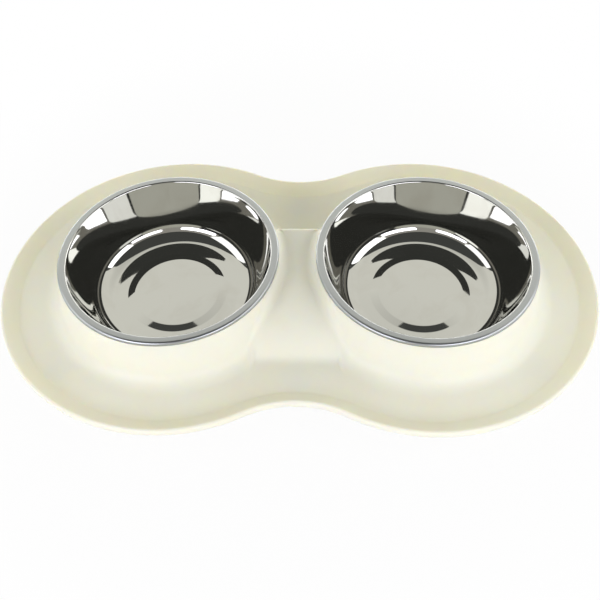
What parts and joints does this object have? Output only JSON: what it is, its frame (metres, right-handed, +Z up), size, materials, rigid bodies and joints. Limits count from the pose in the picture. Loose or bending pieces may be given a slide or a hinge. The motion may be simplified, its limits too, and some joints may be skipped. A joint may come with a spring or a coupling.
{
  "type": "double pet bowl",
  "caption": "Low figure-of-eight tray with a raised lip and round pedestals that carry drop-in steel feeding bowls, on small rubber feet.",
  "frame": {"origin": "on the floor, under the middle of the bridge between the two bowls", "axes": "+X along the row of bowls to the right bowl, +Y to the rear, +Z up; the bridge's long sloping face is the front and its short steep face the rear"},
  "size_m": [0.3608, 0.209, 0.039],
  "materials": {
    "holder_plastic": "cream moulded plastic with a fine satin surface",
    "bowl_steel": "mirror-polished stainless steel sheet",
    "foot_rubber": "plain moulded rubber"
  },
  "bodies": {
    "holder": {"holder": "holder_plastic", "foot_front_left": "foot_rubber", "foot_front_middle": "foot_rubber", "foot_front_right": "foot_rubber", "foot_rear_left": "foot_rubber", "foot_rear_middle": "foot_rubber", "foot_rear_right": "foot_rubber"},
    "left_bowl": {"left_bowl": "bowl_steel"},
    "right_bowl": {"right_bowl": "bowl_steel"}
  },
  "joints": [
    {"name": "left_bowl_lift", "type": "slide", "parent": "holder", "child": "left_bowl", "axis": [0, 0, 1], "range_m": [0, 0.06]},
    {"name": "right_bowl_lift", "type": "slide", "parent": "holder", "child": "right_bowl", "axis": [0, 0, 1], "range_m": [0, 0.06]}
  ]
}
